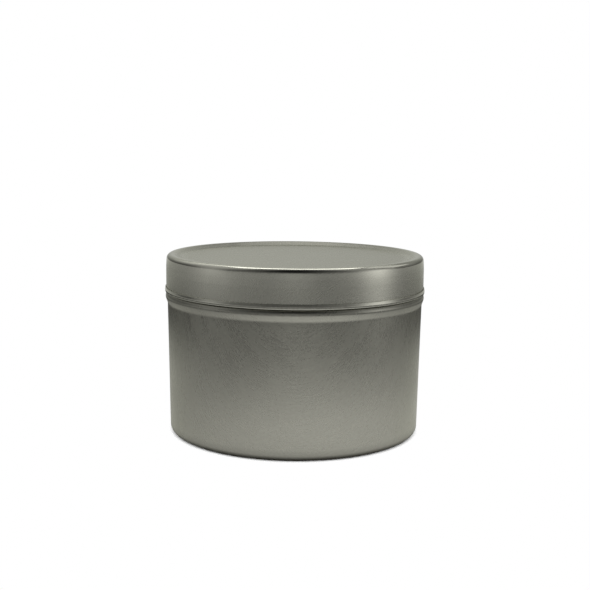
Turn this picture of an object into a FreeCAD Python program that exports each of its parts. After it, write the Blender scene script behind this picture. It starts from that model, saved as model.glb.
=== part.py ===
"""Round candle tin with a slip lid, drawn from tinplate without seams.

Two pieces, each pressed from one disc of sheet: the tin body and the lid.
Millimetres, +Z up. The origin is the centre of the circle that the tin stands on.
Both pieces are bodies of revolution. Each is described by the middle line of its
sheet, which runs outward from the axis and on to the cut edge, and is then given
the thickness of the sheet and turned once about Z.
"""
import FreeCAD
import Part
import math
import os

# ---- driving dimensions ----
SHEET = 0.22                 # thickness of the tinplate

TIN_HEIGHT = 53.2            # closed tin, from its standing ring to the crown of the lid
LID_RADIUS = 38.5            # outside of the lid's skirt

# tin body, outside radii and heights
FOOT_RADIUS = 37.45          # wall just above the bottom bend
WALL_TOP_RADIUS = 38.1       # wall just below the shoulder
WALL_TOP_HEIGHT = 38.8
FOOT_BEND = 1.8              # bend between base and wall
BASE_RISE = 0.6              # how far the base panel stands off the table
BASE_PANEL_RADIUS = 33.0
STANDING_RING_RADIUS = 34.3  # inner edge of the ring that the tin stands on
BEAD_RADIUS = 38.68          # stop bead below the lid
BEAD_BOTTOM = 40.5           # corner where the shoulder turns upright into the bead
BEAD_TOP = 41.6              # corner where the bead turns in towards the neck
BEAD_BEND = 1.6
NECK_RADIUS = 36.9           # outside of the neck that the lid slips over
NECK_HEIGHT = 42.9           # where the neck comes out of the bead's upper bend
RIM_CURL_DIAMETER = 1.3      # rolled rim, outside diameter of the roll
RIM_CURL_HEIGHT = 51.9       # height of the roll's centre
RIM_CURL_SWEEP = 292.0       # degrees of roll, from the top of the neck to the cut edge

# lid, outside radii and heights
CROWN_BEND = 1.4             # bend between skirt and crown
CROWN_INNER_RADIUS = 36.3    # where the crown starts to slope down to the panel
PANEL_RADIUS = 33.6          # flat panel in the middle of the lid
PANEL_RECESS = 0.95          # how far the panel lies below the crown
SKIRT_EASE_HEIGHT = 49.75    # above here the skirt leans in, by a long gentle bend
SKIRT_EASE_LEAN = 3.5        # degrees
SKIRT_EASE_BEND = 56.0
HEM_BOTTOM = 42.1            # lowest line of the lid
HEM_WIDEST = 42.75           # height at which the hem stands furthest from the skirt
HEM_TOP = 43.6               # cut edge of the hem, on the outside of the skirt
HEM_FOLD = 0.17              # middle-line radius of the fold at the bottom of the hem
HEM_LEAN_OUT = 6.5           # degrees, from the fold up to the widest line
HEM_LEAN_IN = 8.5            # degrees, from the widest line up to the cut edge
HEM_BEND = 1.2

SOFT_BEND = 1.2              # shallow bends of the base, the shoulder and the lid's panel
HALF = SHEET / 2.0


def point(r, z):
    return FreeCAD.Vector(r, 0.0, z)


def rotated_left(direction):
    """The direction a quarter turn to the left, seen with +X right and +Z up."""
    return point(-direction.z, direction.x)


def straight_run(start, end):
    """A straight run of sheet, as its points paired with their left-hand normals."""
    normal = rotated_left((end - start).normalize())
    return [(start, normal), (end, normal)]


def bent_run(centre, radius, start_angle, end_angle):
    """An arc of sheet about centre, as three points with their left-hand normals."""
    inward = 1.0 if end_angle > start_angle else -1.0
    run = []
    for share in (0.0, 0.5, 1.0):
        angle = math.radians(start_angle + share * (end_angle - start_angle))
        outward = point(math.cos(angle), math.sin(angle))
        run.append((centre + outward * radius, outward * -inward))
    return run


def heading(direction):
    return math.degrees(math.atan2(direction.z, direction.x))


def middle_line(corners):
    """Straight runs joined by bends, from (radius, height, bend radius) corners.

    The bend radius is that of the middle line, and 0 at both ends.
    """
    runs = []
    previous = point(*corners[0][:2])
    for (r, z, bend), (next_r, next_z, _) in zip(corners[1:], corners[2:]):
        corner = point(r, z)
        into = (corner - previous).normalize()
        out = (point(next_r, next_z) - corner).normalize()
        turn = (heading(out) - heading(into) + 180.0) % 360.0 - 180.0
        cut_back = bend * math.tan(math.radians(abs(turn) / 2.0))
        side = math.copysign(1.0, turn)
        start = corner - into * cut_back
        centre = start + rotated_left(into) * bend * side
        first_angle = heading(start - centre)
        runs.append(straight_run(previous, start))
        runs.append(bent_run(centre, bend, first_angle, first_angle + turn))
        previous = corner + out * cut_back
    runs.append(straight_run(previous, point(*corners[-1][:2])))
    return runs


def edge_of(run, offset):
    """One side of a run of sheet, offset along its normals."""
    points = [place + normal * offset for place, normal in run]
    if len(points) == 2:
        return Part.makeLine(*points)
    return Part.Arc(*points).toShape()


def drawn_sheet(runs):
    """The middle line given the sheet's thickness and turned once about Z."""
    left = [edge_of(run, HALF) for run in runs]
    right = [edge_of(run, -HALF) for run in runs]
    on_axis = Part.makeLine(left[0].firstVertex().Point, right[0].firstVertex().Point)
    cut_edge = Part.makeLine(left[-1].lastVertex().Point, right[-1].lastVertex().Point)
    outline = Part.Wire(Part.__sortEdges__(left + right + [on_axis, cut_edge]))
    section = Part.Face(outline)
    solid = section.revolve(point(0, 0), FreeCAD.Vector(0, 0, 1), 360.0)
    return solid if solid.Volume > 0 else solid.reversed()


def tin_body():
    """Raised base panel, standing ring, wall, stop bead, neck and rolled rim."""
    curl_radius = RIM_CURL_DIAMETER / 2.0 - HALF
    neck_middle = NECK_RADIUS - HALF
    curl_centre = point(neck_middle + curl_radius, RIM_CURL_HEIGHT)
    runs = middle_line([
        (0.0, BASE_RISE + HALF, 0.0),
        (BASE_PANEL_RADIUS, BASE_RISE + HALF, SOFT_BEND),
        (STANDING_RING_RADIUS, HALF, SOFT_BEND),
        (FOOT_RADIUS - HALF, HALF, FOOT_BEND - HALF),
        (WALL_TOP_RADIUS - HALF, WALL_TOP_HEIGHT, 2.0 * SOFT_BEND),
        (BEAD_RADIUS - HALF, BEAD_BOTTOM, BEAD_BEND - HALF),
        (BEAD_RADIUS - HALF, BEAD_TOP, BEAD_BEND - HALF),
        (neck_middle, NECK_HEIGHT, SOFT_BEND),
        (neck_middle, RIM_CURL_HEIGHT, 0.0),
    ])
    runs.append(bent_run(curl_centre, curl_radius, 180.0, 180.0 - RIM_CURL_SWEEP))
    return drawn_sheet(runs)


def leaned(rise, degrees):
    """How far sideways a sheet goes while it rises at a lean from the upright."""
    return rise * math.tan(math.radians(degrees))


def lid():
    """Recessed panel, crown, skirt and the hem folded up on its outside."""
    crown = TIN_HEIGHT - HALF
    panel = crown - PANEL_RECESS
    skirt = LID_RADIUS - HALF
    crown_corner = skirt - leaned(crown - SKIRT_EASE_HEIGHT, SKIRT_EASE_LEAN)
    fold_height = HEM_BOTTOM + HEM_FOLD + HALF
    runs = middle_line([
        (0.0, panel, 0.0),
        (PANEL_RADIUS, panel, SOFT_BEND),
        (CROWN_INNER_RADIUS, crown, SOFT_BEND),
        (crown_corner, crown, CROWN_BEND - HALF),
        (skirt, SKIRT_EASE_HEIGHT, SKIRT_EASE_BEND),
        (skirt, fold_height, 0.0),
    ])
    fold = bent_run(point(skirt + HEM_FOLD, fold_height), HEM_FOLD, 180.0, 360.0 - HEM_LEAN_OUT)
    runs.append(fold)
    hem_start = fold[-1][0]
    widest = hem_start.x + leaned(HEM_WIDEST - hem_start.z, HEM_LEAN_OUT)
    runs += middle_line([
        (hem_start.x, hem_start.z, 0.0),
        (widest, HEM_WIDEST, HEM_BEND),
        (widest - leaned(HEM_TOP - HEM_WIDEST, HEM_LEAN_IN), HEM_TOP, 0.0),
    ])
    return drawn_sheet(runs)


def main():
    os.makedirs("parts", exist_ok=True)
    for name, shape in (("tin_body", tin_body()), ("lid", lid())):
        shape.exportStep("parts/" + name + ".step")
        box = shape.BoundBox
        print(name, "valid", shape.isValid(), "volume", round(shape.Volume, 1),
              "radius", round(box.XMax, 3), "z", round(box.ZMin, 3), round(box.ZMax, 3))


main()
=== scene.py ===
import math

import bpy
import numpy as np
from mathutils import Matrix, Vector


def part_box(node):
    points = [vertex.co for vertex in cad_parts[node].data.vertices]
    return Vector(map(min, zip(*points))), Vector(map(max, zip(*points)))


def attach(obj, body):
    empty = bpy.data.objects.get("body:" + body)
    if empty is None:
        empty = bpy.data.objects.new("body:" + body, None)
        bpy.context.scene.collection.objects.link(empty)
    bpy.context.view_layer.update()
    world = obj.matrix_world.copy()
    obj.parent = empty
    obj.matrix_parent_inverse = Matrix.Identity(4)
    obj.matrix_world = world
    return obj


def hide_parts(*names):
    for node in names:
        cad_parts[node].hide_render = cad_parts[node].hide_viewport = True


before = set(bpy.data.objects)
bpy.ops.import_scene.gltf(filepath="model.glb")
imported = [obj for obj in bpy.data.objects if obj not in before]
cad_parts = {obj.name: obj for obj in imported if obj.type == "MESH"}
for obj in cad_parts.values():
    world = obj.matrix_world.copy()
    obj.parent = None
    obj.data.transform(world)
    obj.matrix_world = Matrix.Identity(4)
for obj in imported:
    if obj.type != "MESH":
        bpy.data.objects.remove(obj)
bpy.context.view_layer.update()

MM = 0.001

# ---- the tin's sections, as in the CAD parts ----
SHEET = 0.22 * MM
HALF = SHEET / 2
TIN_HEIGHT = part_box("lid")[1].z
LID_RADIUS = 38.5 * MM
SOFT_BEND = 1.2 * MM

FOOT_RADIUS = 37.45 * MM
FOOT_BEND = 1.8 * MM
BASE_RISE = 0.6 * MM
BASE_PANEL_RADIUS = 33.0 * MM
STANDING_RING_RADIUS = 34.3 * MM
WALL_TOP_RADIUS = 38.1 * MM
WALL_TOP_HEIGHT = 38.8 * MM
BEAD_RADIUS = 38.68 * MM
BEAD_BOTTOM = 40.5 * MM
BEAD_TOP = 41.6 * MM
BEAD_BEND = 1.6 * MM
NECK_RADIUS = 36.9 * MM
NECK_HEIGHT = 42.9 * MM
RIM_CURL_DIAMETER = 1.3 * MM
RIM_CURL_HEIGHT = 51.9 * MM
RIM_CURL_SWEEP = 292.0          # degrees

CROWN_BEND = 1.4 * MM
CROWN_INNER_RADIUS = 36.3 * MM
PANEL_RADIUS = 33.6 * MM
PANEL_RECESS = 0.95 * MM
SKIRT_EASE_HEIGHT = 49.75 * MM
SKIRT_EASE_LEAN = 3.5           # degrees
SKIRT_EASE_BEND = 56.0 * MM
HEM_BOTTOM = 42.1 * MM
HEM_WIDEST = 42.75 * MM
HEM_TOP = 43.6 * MM
HEM_FOLD = 0.17 * MM
HEM_LEAN_OUT = 6.5              # degrees
HEM_LEAN_IN = 8.5               # degrees
HEM_BEND = 1.2 * MM

# ---- how far the real sheet strays from those sections ----
HEM_STEADY = 0.5 * MM           # the hem keeps true up to this height above its fold
HEM_CLEAR = 0.05 * MM           # only what stands this far out from the skirt is hem
HEM_WANDER = 0.05 * MM          # up and down, of the hem's cut edge
HEM_PRESSED = 0.03 * MM         # inwards, of the hem's cut edge
WALL_HOLLOW = 0.04 * MM         # inwards, of the wall halfway up
WALL_TWIST = 12.0               # radians per metre by which its waves wind round the wall

# ---- mesh ----
SEGMENTS = 256                  # round the axis
LONGEST_STEP = 1.5 * MM         # along a straight run
END_MARGIN = 0.12 * MM          # from the end of a straight run to its first sample
BEND_STEP = 6.0                 # degrees along a bend
EDGE_ROUND = 0.06 * MM          # rounding of the sheet's cut edge
UV_SPAN = 0.30                  # width of the square of flat sheet that the UV square stands for
WORKED_AND_SHADE_REACH = 1.1 * MM         # how far along the sheet the bend mask reaches beside a bend, for the worked finish and the painted bend shading
WORKED_AND_SHADE_TURN = 55.0              # degrees of turn within that reach that make the mask full

# ---- metal ----
LID_TURN = 42.0                 # degrees that the lid's rolling direction is turned on the tin
EDGE_TINT = (0.97, 0.98, 0.90, 1.0)  # of the metal at a grazing angle
SMOOTHEST = 0.08                # the metal's least roughness
RELIEF = 0.01 * MM              # depth of its pits and grain

# ---- floor ----
FLOOR_SIDES = 96
FLOOR_SOLID = 0.27              # radius inside which the metal sees the whole floor
FLOOR_EDGE = 0.33               # radius at which the floor has faded into the surround
FLOOR_SEEN = (0.0358, 0.0380)   # the same two radii for the camera, which sees white beyond
FLOOR_DROP = 0.02 * MM          # how far the floor lies below the tin's foot
PAPER = 0.86                    # paper's reflectance beside the tin
PAPER_PAINTED_SHADE = 0.90              # share of it lost towards the floor's edge: painted shade, as if less light fell there
PAINTED_SHADE_SPAN = (0.08, 0.26)       # radii between which it is lost to the painted shade
# A painted pool of light: the paper itself glows in front of the tin, and no lamp lights it.
PAINTED_POOL_CENTRE = (0.012, -0.045, 0.0)
PAINTED_POOL_REACH = 0.115              # the painted pool of light fades from its centre to here
PAINTED_POOL_STRENGTH = 0.60
PAINTED_CONTACT_SHADOW = (0.0364, 0.0402)      # radii between which the tin's painted shadow on the painted pool ends

# ---- surround and camera ----
TABLE_GLOW = 0.42               # the pale table, as the metal sees it beyond the floor
TABLE_SINES = (-0.06, 0.04)     # sines of elevation between which the table fades out
STUDIO_GLOWS = [                # towards, tightness, strength; the upper front stays dark
    ((1.0, -0.3, -0.12), 10.0, 0.40),
    ((-1.0, -0.3, -0.12), 10.0, 0.22),
    ((1.0, -0.22, 0.10), 24.0, 0.85),
    ((-1.0, -0.22, 0.08), 30.0, 0.25),
    ((0.0, -1.0, -0.12), 20.0, 0.32),
    ((0.57, -0.8, 0.17), 14.0, 0.20),
    ((-0.57, -0.8, 0.17), 14.0, 0.18),
    ((0.0, 1.0, 0.17), 12.0, 0.57),
    ((0.45, 0.75, 0.5), 14.0, 0.22),
    ((-0.45, 0.75, 0.5), 14.0, 0.40),
    ((0.5, -0.1, 0.85), 14.0, 0.45),
    ((-0.5, -0.1, 0.85), 14.0, 0.45),
    ((0.5, 0.45, 0.72), 14.0, 0.16),
    ((-0.5, 0.45, 0.72), 14.0, 0.85),
    ((0.85, -0.2, 0.45), 14.0, 0.35),
    ((-0.85, -0.1, 0.5), 14.0, 0.45),
    ((0.8, 0.5, 0.35), 14.0, 0.28),
    ((-0.8, 0.5, 0.35), 14.0, 0.12),
]
CAMERA_PLACE = (0.00007, -0.310, 0.08673)
CAMERA_LENS = 63.3              # millimetres
CAMERA_DOWN = 8.49              # degrees below the level
CAMERA_ROLL = 0.58              # degrees
CAMERA_NEAR = 0.01              # nothing nearer than this is drawn


# ---- sections of the sheet ----
def rotated_left(direction):
    return np.array([-direction[1], direction[0]])


def unit(vector):
    return vector / np.linalg.norm(vector)


def heading(direction):
    return math.degrees(math.atan2(direction[1], direction[0]))


def leaned(rise, degrees):
    """How far sideways a sheet goes while it rises at a lean from the upright."""
    return rise * math.tan(math.radians(degrees))


def straight_run(start, end):
    """(place, left-hand normal, curvature) samples inside a straight stretch of sheet.

    The first and last lie close to the ends, so that the bends beside it keep their shading.
    """
    length = np.linalg.norm(end - start)
    normal = rotated_left(unit(end - start))
    margin = min(END_MARGIN, length / 3) / length
    steps = max(1, math.ceil(length / LONGEST_STEP))
    shares = np.linspace(margin, 1 - margin, steps + 1)
    return [(start + (end - start) * share, normal, 0.0) for share in shares]


def bent_run(centre, radius, start_angle, end_angle):
    """The same samples along an arc of the sheet's middle line."""
    steps = max(2, math.ceil(abs(end_angle - start_angle) / BEND_STEP))
    side = -1.0 if end_angle > start_angle else 1.0
    run = []
    for step in range(steps + 1):
        angle = math.radians(start_angle + (end_angle - start_angle) * step / steps)
        outward = np.array([math.cos(angle), math.sin(angle)])
        run.append((centre + outward * radius, outward * side, 1.0 / radius))
    return run


def middle_line(corners):
    """Samples of straight runs joined by bends, from (radius, height, bend) corners."""
    first, last = np.array(corners[0][:2]), np.array(corners[-1][:2])
    samples = [(first, rotated_left(unit(np.array(corners[1][:2]) - first)), 0.0)]
    previous = first
    for (r, z, bend), following in zip(corners[1:], corners[2:]):
        corner = np.array([r, z])
        into = unit(corner - previous)
        out = unit(np.array(following[:2]) - corner)
        turn = (heading(out) - heading(into) + 180.0) % 360.0 - 180.0
        cut_back = bend * math.tan(math.radians(abs(turn) / 2))
        start = corner - into * cut_back
        centre = start + rotated_left(into) * math.copysign(bend, turn)
        first_angle = heading(start - centre)
        samples += straight_run(previous, start)
        samples += bent_run(centre, bend, first_angle, first_angle + turn)
        previous = corner + out * cut_back
    samples += straight_run(previous, last)
    samples.append((last, samples[-1][1], 0.0))
    return samples


def tin_section():
    """Raised base panel, standing ring, wall, stop bead, neck and rolled rim."""
    neck_middle = NECK_RADIUS - HALF
    curl_radius = RIM_CURL_DIAMETER / 2 - HALF
    curl_centre = np.array([neck_middle + curl_radius, RIM_CURL_HEIGHT])
    samples = middle_line([
        (0.0, BASE_RISE + HALF, 0.0),
        (BASE_PANEL_RADIUS, BASE_RISE + HALF, SOFT_BEND),
        (STANDING_RING_RADIUS, HALF, SOFT_BEND),
        (FOOT_RADIUS - HALF, HALF, FOOT_BEND - HALF),
        (WALL_TOP_RADIUS - HALF, WALL_TOP_HEIGHT, 2 * SOFT_BEND),
        (BEAD_RADIUS - HALF, BEAD_BOTTOM, BEAD_BEND - HALF),
        (BEAD_RADIUS - HALF, BEAD_TOP, BEAD_BEND - HALF),
        (neck_middle, NECK_HEIGHT, SOFT_BEND),
        (neck_middle, RIM_CURL_HEIGHT, 0.0),
    ])
    return samples + bent_run(curl_centre, curl_radius, 180.0, 180.0 - RIM_CURL_SWEEP)[1:]


def lid_section():
    """Recessed panel, crown, skirt and the hem folded up on its outside."""
    crown = TIN_HEIGHT - HALF
    panel = crown - PANEL_RECESS
    skirt = LID_RADIUS - HALF
    crown_corner = skirt - leaned(crown - SKIRT_EASE_HEIGHT, SKIRT_EASE_LEAN)
    fold_height = HEM_BOTTOM + HEM_FOLD + HALF
    samples = middle_line([
        (0.0, panel, 0.0),
        (PANEL_RADIUS, panel, SOFT_BEND),
        (CROWN_INNER_RADIUS, crown, SOFT_BEND),
        (crown_corner, crown, CROWN_BEND - HALF),
        (skirt, SKIRT_EASE_HEIGHT, SKIRT_EASE_BEND),
        (skirt, fold_height, 0.0),
    ])
    fold_centre = np.array([skirt + HEM_FOLD, fold_height])
    fold = bent_run(fold_centre, HEM_FOLD, 180.0, 360.0 - HEM_LEAN_OUT)
    start = fold[-1][0]
    widest = start[0] + leaned(HEM_WIDEST - start[1], HEM_LEAN_OUT)
    leg = middle_line([
        (start[0], start[1], 0.0),
        (widest, HEM_WIDEST, HEM_BEND),
        (widest - leaned(HEM_TOP - HEM_WIDEST, HEM_LEAN_IN), HEM_TOP, 0.0),
    ])
    return samples + fold[1:] + leg[1:]


def outline_of(samples):
    """The closed outline of a sheet: (radius, height, disc radius, worked_and_shaded) rows.

    It runs out along the sheet's left side, round the cut edge and back along its right
    side. The disc radius is where the point lay before drawing: drawing keeps the area.
    Worked_and_shaded is how much the sheet bends near there, from 0 to 1; it sets the worked
    finish's roughness and the painted bend shading.
    """
    places, normals, curvature = (np.array(column) for column in zip(*samples))
    steps = np.linalg.norm(np.diff(places, axis=0), axis=1)
    swept = steps * (places[1:, 0] + places[:-1, 0])
    disc = np.sqrt(np.concatenate([[0.0], np.cumsum(swept)]))
    along = np.concatenate([[0.0], np.cumsum(steps)])
    turned = np.concatenate([[0.0], np.cumsum(steps * (curvature[1:] + curvature[:-1]) / 2)])
    before = np.interp(along - WORKED_AND_SHADE_REACH, along, turned)
    after = np.interp(along + WORKED_AND_SHADE_REACH, along, turned)
    worked_and_shaded = np.clip((after - before) / math.radians(WORKED_AND_SHADE_TURN), 0.0, 1.0)
    travel = unit(places[-1] - places[-2])
    rows = []
    for side in (1.0, -1.0):
        edge = places + normals * HALF * side
        edge[-1] -= travel * EDGE_ROUND
        corner = places[-1] + normals[-1] * (HALF - EDGE_ROUND) * side
        half = np.column_stack([edge, disc, worked_and_shaded]).tolist()
        half.append([*corner, disc[-1], worked_and_shaded[-1]])
        rows += half if side > 0 else half[::-1]
    return np.array(rows)


# ---- meshes ----
def uneven(angle, waves, phase):
    """A smooth wave round the axis from -1 to 1, with no repeat that the eye can find."""
    total = sum(math.cos(phase * count) * np.sin(count * angle + phase * count * count)
                for count in waves)
    return total / len(waves)


def hem_wave(angle, radius, height):
    """The hem's cut edge wanders a few hundredths, as a folded edge does."""
    outside = radius > LID_RADIUS + HEM_CLEAR
    up = (height - HEM_BOTTOM - HEM_STEADY) / (HEM_TOP - HEM_BOTTOM - HEM_STEADY)
    share = np.where(outside, np.clip(up, 0, 1), 0.0)
    height = height + share * HEM_WANDER * (uneven(angle, (9, 14, 23, 37), 1.7) - 0.5)
    radius = radius - share * HEM_PRESSED * (0.5 + 0.5 * uneven(angle, (5, 8, 13), 0.9))
    return radius, height


def wall_wave(angle, radius, height):
    """The drawn wall is out of round by a few hundredths, most between base and shoulder."""
    middle = np.clip(1 - np.abs(height / (WALL_TOP_HEIGHT / 2) - 1), 0, 1)
    outside = np.where(radius > BASE_PANEL_RADIUS, middle, 0.0)
    inward = 0.5 + 0.5 * uneven(angle + WALL_TWIST * height, (2, 3, 5), 2.3)
    return radius - outside * WALL_HOLLOW * inward, height


def lathed_faces(rows):
    """Every face of a lathed mesh, as its (segment, outline row) corners.

    The outline's first and last rows lie on the axis, so the faces there are triangles.
    """
    last = rows - 1
    faces = []
    for segment in range(SEGMENTS):
        after = segment + 1
        faces.append([(segment, 0), (segment, 1), (after, 1)])
        for row in range(1, last - 1):
            faces.append([(segment, row), (segment, row + 1), (after, row + 1), (after, row)])
        faces.append([(segment, last - 1), (segment, last), (after, last - 1)])
    return faces


def vertex_number(corner, rows):
    """The vertex at a (segment, row) corner: ring after ring, then the two on the axis."""
    segment, row = corner
    ring = rows - 2
    if row == 0:
        return SEGMENTS * ring
    if row == rows - 1:
        return SEGMENTS * ring + 1
    return (segment % SEGMENTS) * ring + row - 1


def in_scene(name, data):
    """A new object that holds the data, linked to the scene."""
    made = bpy.data.objects.new(name, data)
    bpy.context.scene.collection.objects.link(made)
    return made


def lathe(name, outline, disc_turn, wave):
    """A closed mesh of revolution with its place on the flat disc as UVs.

    disc_turn is the angle, in degrees, by which the rolling direction is turned, and wave
    moves the (angle, radius, height) of every point a little.
    """
    angles = np.arange(SEGMENTS)[:, None] * 2 * math.pi / SEGMENTS
    level = np.ones((SEGMENTS, 1))
    radius, height = wave(angles, level * outline[:, 0], level * outline[:, 1])
    rings = np.stack([radius * np.cos(angles), radius * np.sin(angles), height], axis=-1)
    on_axis = [[0.0, 0.0, outline[0, 1]], [0.0, 0.0, outline[-1, 1]]]
    vertices = rings[:, 1:-1].reshape(-1, 3).tolist() + on_axis
    faces = lathed_faces(len(outline))
    numbered = [[vertex_number(corner, len(outline)) for corner in face] for face in faces]
    mesh = bpy.data.meshes.new(name)
    mesh.from_pydata(vertices, [], numbered)

    layer = mesh.uv_layers.new(name="disc")
    segments, rows = np.array([corner for face in faces for corner in face]).T
    turned = segments * 2 * math.pi / SEGMENTS - math.radians(disc_turn)
    disc_radius = outline[rows, 2]
    uv = np.stack([disc_radius * np.cos(turned), disc_radius * np.sin(turned)], axis=-1)
    layer.data.foreach_set("uv", (uv / UV_SPAN + 0.5).astype(np.float32).ravel())

    attribute = mesh.attributes.new("worked_and_shaded", "FLOAT", "POINT")
    worked_and_shaded = np.concatenate([np.tile(outline[1:-1, 3], SEGMENTS), [0.0, 0.0]])
    attribute.data.foreach_set("value", worked_and_shaded.astype(np.float32))
    mesh.polygons.foreach_set("use_smooth", np.ones(len(faces), bool))
    mesh.update()
    return in_scene(name, mesh)


# ---- shader nodes ----
def new_tree(name):
    material = bpy.data.materials.new(name)
    material.use_nodes = True
    tree = material.node_tree
    tree.nodes.clear()
    return material, tree


def add(tree, kind, settings=(), **inputs):
    """A node with its settings, and its inputs set to values or linked to sockets.

    An input goes by its name, with _ for a space, or by its number, as i0, i1 and so on.
    """
    node = tree.nodes.new(kind)
    for key, value in dict(settings).items():
        setattr(node, key, value)
    for key, value in inputs.items():
        numbered = key[1:].isdigit()
        socket = node.inputs[int(key[1:])] if numbered else node.inputs[key.replace("_", " ")]
        if isinstance(value, bpy.types.NodeSocket):
            tree.links.new(value, socket)
        else:
            socket.default_value = value
    return node


def maths(tree, operation, first, second):
    return add(tree, "ShaderNodeMath", {"operation": operation}, i0=first, i1=second).outputs[0]


def blend(tree, share, start, end):
    """start where share is 0, end where it is 1."""
    return add(tree, "ShaderNodeMix", {"data_type": "FLOAT"}, i0=share, i2=start, i3=end).outputs[0]


def weighted(tree, start, terms):
    """start plus each socket times its weight."""
    total = start
    for socket, weight in terms:
        total = maths(tree, "ADD", maths(tree, "MULTIPLY", socket, weight), total)
    return total


def fade_out(tree, value, start, end):
    """1 below start, 0 above end and smooth between."""
    fade = add(tree, "ShaderNodeMapRange", {"interpolation_type": "SMOOTHSTEP"}, Value=value,
               From_Min=start, From_Max=end, To_Min=1.0, To_Max=0.0)
    return fade.outputs[0]


# ---- tinplate ----
def streaks(tree, disc, across, along, detail, seed):
    """Noise drawn out along the rolling direction, centred on 0. Sizes are in metres."""
    stretch = add(tree, "ShaderNodeMapping", Vector=disc,
                  Location=(seed, seed, 0.0),
                  Scale=(UV_SPAN / along, UV_SPAN / across, 1.0))
    noise = add(tree, "ShaderNodeTexNoise", {"noise_dimensions": "2D"},
                Vector=stretch.outputs[0], Scale=1.0, Detail=detail, Roughness=0.6)
    return maths(tree, "SUBTRACT", noise.outputs["Fac"], 0.5)


def scratches(tree, disc):
    """1 on a few short hairlines along the rolling direction, else 0."""
    hair = streaks(tree, disc, across=0.20 * MM, along=3.0 * MM, detail=0.0, seed=11.9)
    rare = add(tree, "ShaderNodeMapRange", Value=hair, From_Min=0.37, From_Max=0.44)
    return rare.outputs[0]


def tinplate(name, tint, roughness, painted_bend_shading, worked_roughness):
    """Rolled tinplate: pits, grain, bands, a soft mottle, hairlines and worked bends, whose colour
    also carries painted bend shading.
    """
    material, tree = new_tree(name)
    disc = add(tree, "ShaderNodeUVMap", {"uv_map": "disc"}).outputs[0]
    pits = streaks(tree, disc, across=0.30 * MM, along=1.1 * MM, detail=1.0, seed=3.1)
    grain = streaks(tree, disc, across=0.34 * MM, along=6 * MM, detail=1.0, seed=7.7)
    bands = streaks(tree, disc, across=1.3 * MM, along=16 * MM, detail=2.0, seed=5.3)
    mottle = streaks(tree, disc, across=4 * MM, along=12 * MM, detail=1.0, seed=1.3)
    hairline = scratches(tree, disc)
    worked_and_shaded = add(tree, "ShaderNodeAttribute", {"attribute_name": "worked_and_shaded"}).outputs["Fac"]

    # painted bend shading: the bend mask scales the colour; on the body it darkens the bends as
    # painted shade
    shade = weighted(tree, 1.0, [(pits, 0.20), (grain, 0.15), (bands, 0.04), (mottle, 0.08),
                                 (hairline, -0.03), (worked_and_shaded, painted_bend_shading)])
    colour = add(tree, "ShaderNodeVectorMath", {"operation": "SCALE"}, i0=tint, Scale=shade)
    rough = weighted(tree, roughness, [(pits, 0.06), (grain, 0.06), (mottle, 0.08),
                                       (worked_and_shaded, worked_roughness)])
    rough = maths(tree, "MAXIMUM", rough, SMOOTHEST)
    relief = weighted(tree, 0.0, [(pits, 1.0), (grain, 1.0), (hairline, -0.5)])
    bump = add(tree, "ShaderNodeBump", Strength=0.20, Distance=RELIEF, Height=relief)
    rolling = add(tree, "ShaderNodeTangent", {"direction_type": "UV_MAP", "uv_map": "disc"})
    surface = add(tree, "ShaderNodeBsdfPrincipled", Base_Color=colour.outputs[0],
                  Metallic=1.0, Roughness=rough, Normal=bump.outputs[0],
                  Specular_Tint=EDGE_TINT,
                  Anisotropic=0.5, Anisotropic_Rotation=0.25, Tangent=rolling.outputs[0])
    add(tree, "ShaderNodeOutputMaterial", Surface=surface.outputs[0])
    return material


# ---- floor, light and camera ----
def floor_paper():
    """Pale paper that fades out, so that no horizon shows, with a painted pool of light glowing on
    it, the tin's painted shadow on that pool and painted shade towards its edge.
    """
    material, tree = new_tree("floor_paper")
    spot = add(tree, "ShaderNodeTexCoord").outputs["Object"]
    reach = add(tree, "ShaderNodeVectorMath", {"operation": "LENGTH"}, i0=spot).outputs["Value"]
    from_pool = add(tree, "ShaderNodeVectorMath", {"operation": "DISTANCE"}, i0=spot,
                    i1=PAINTED_POOL_CENTRE).outputs["Value"]
    seen = add(tree, "ShaderNodeLightPath").outputs["Is Camera Ray"]
    shown = fade_out(tree, reach, blend(tree, seen, FLOOR_SOLID, FLOOR_SEEN[0]),
                     blend(tree, seen, FLOOR_EDGE, FLOOR_SEEN[1]))
    # painted shade: the paper's reflectance falls towards the floor's edge, standing in for light
    # that falls off there
    painted_shade_tone = maths(tree, "MULTIPLY", fade_out(tree, reach, *PAINTED_SHADE_SPAN), PAPER * PAPER_PAINTED_SHADE)
    painted_shade_tone = maths(tree, "ADD", painted_shade_tone, PAPER * (1 - PAPER_PAINTED_SHADE))
    paper = add(tree, "ShaderNodeBsdfDiffuse", Color=painted_shade_tone)
    # painted shadow of the tin: the pool's glow is taken away under and right beside its foot
    outside_painted_shadow = maths(tree, "SUBTRACT", 1.0, fade_out(tree, reach, *PAINTED_CONTACT_SHADOW))
    # painted pool of light: an emission on the paper, cut away by the tin's painted shadow
    painted_pool = maths(tree, "MULTIPLY", fade_out(tree, from_pool, 0.0, PAINTED_POOL_REACH), outside_painted_shadow)
    light = add(tree, "ShaderNodeEmission", Strength=maths(tree, "MULTIPLY", painted_pool, PAINTED_POOL_STRENGTH))
    lit = add(tree, "ShaderNodeAddShader", i0=paper.outputs[0], i1=light.outputs[0])
    clear = add(tree, "ShaderNodeBsdfTransparent")
    mix = add(tree, "ShaderNodeMixShader", i0=shown, i1=clear.outputs[0], i2=lit.outputs[0])
    add(tree, "ShaderNodeOutputMaterial", Surface=mix.outputs[0])
    return material


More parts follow.
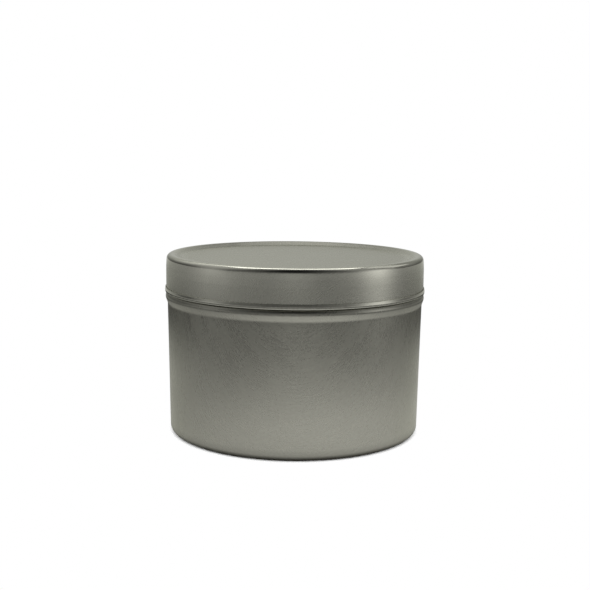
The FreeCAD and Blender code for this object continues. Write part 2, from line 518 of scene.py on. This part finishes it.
def make_floor():
    angles = np.arange(FLOOR_SIDES) * 2 * math.pi / FLOOR_SIDES
    rim = [(FLOOR_EDGE * math.cos(angle), FLOOR_EDGE * math.sin(angle), -FLOOR_DROP)
           for angle in angles]
    mesh = bpy.data.meshes.new("floor")
    mesh.from_pydata(rim, [], [tuple(range(FLOOR_SIDES))])
    mesh.materials.append(floor_paper())
    floor = in_scene("floor", mesh)


def soft_box(name, place, target, width, depth, power):
    """A rectangular soft box aimed at a point."""
    light = bpy.data.lights.new(name, "AREA")
    light.shape = "RECTANGLE"
    light.size = width
    light.size_y = depth
    light.energy = power
    lamp = in_scene(name, light)
    lamp.location = place
    lamp.rotation_euler = (Vector(target) - Vector(place)).to_track_quat("-Z", "Y").to_euler()
    lamp.visible_camera = False


def glow(tree, direction, towards, tightness):
    """1 in the direction towards, falling off smoothly round it."""
    aim = tuple(Vector(towards).normalized())
    facing = add(tree, "ShaderNodeVectorMath", {"operation": "DOT_PRODUCT"}, i0=direction, i1=aim)
    front = maths(tree, "MAXIMUM", facing.outputs["Value"], 0.0)
    return maths(tree, "POWER", front, tightness)


def make_surround():
    """White to the camera; to the metal, a dim studio with soft glows round a dark front."""
    world = bpy.data.worlds.new("studio")
    world.use_nodes = True
    tree = world.node_tree
    tree.nodes.clear()
    direction = add(tree, "ShaderNodeTexCoord").outputs["Generated"]
    sine = add(tree, "ShaderNodeSeparateXYZ", i0=direction).outputs["Z"]
    terms = [(glow(tree, direction, towards, tightness), strength)
             for towards, tightness, strength in STUDIO_GLOWS]
    terms.append((fade_out(tree, sine, *TABLE_SINES), TABLE_GLOW))
    studio = weighted(tree, 0.0, terms)
    seen = add(tree, "ShaderNodeLightPath").outputs["Is Camera Ray"]
    light = add(tree, "ShaderNodeBackground", Color=(1.0, 1.0, 1.0, 1.0),
                Strength=blend(tree, seen, studio, 1.0))
    add(tree, "ShaderNodeOutputWorld", Surface=light.outputs[0])
    bpy.context.scene.world = world


def make_camera():
    data = bpy.data.cameras.new("camera")
    data.lens = CAMERA_LENS
    data.clip_start = CAMERA_NEAR
    camera = in_scene("camera", data)
    camera.location = CAMERA_PLACE
    camera.rotation_mode = "ZYX"
    pitch, roll = math.radians(90.0 - CAMERA_DOWN), math.radians(CAMERA_ROLL)
    camera.rotation_euler = (pitch, 0.0, roll)
    bpy.context.scene.camera = camera


def main():
    bpy.context.scene.view_settings.view_transform = "Standard"
    make_camera()
    make_floor()
    make_surround()
    soft_box("overhead_box", place=(0.0, 0.06, 0.32), target=(0.0, 0.0, 0.0),
             width=0.28, depth=0.12, power=0.32)
    soft_box("back_box", place=(0.0, 0.30, 0.42), target=(0.0, 0.0, 0.05),
             width=0.50, depth=0.20, power=0.22)
    soft_box("right_box", place=(0.26, 0.10, 0.28), target=(0.0, 0.0, 0.05),
             width=0.18, depth=0.20, power=0.08)

    tin = lathe("tin_body_shell", outline_of(tin_section()), 0.0, wall_wave)
    # the body's bends carry painted shade: their colour is darkened by up to 22 percent
    tin.data.materials.append(tinplate("body_tinplate", tint=(0.348, 0.344, 0.297), roughness=0.28,
                                       painted_bend_shading=-0.22, worked_roughness=0.02))
    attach(tin, "tin_body")
    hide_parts("tin_body")

    lid = lathe("lid_shell", outline_of(lid_section()), LID_TURN, hem_wave)
    # the lid's bends are made smoother and their colour lightened by 4 percent
    lid.data.materials.append(tinplate("lid_tinplate", tint=(0.385, 0.382, 0.331), roughness=0.28,
                                       painted_bend_shading=0.04, worked_roughness=-0.14))
    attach(lid, "lid")
    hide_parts("lid")


main()
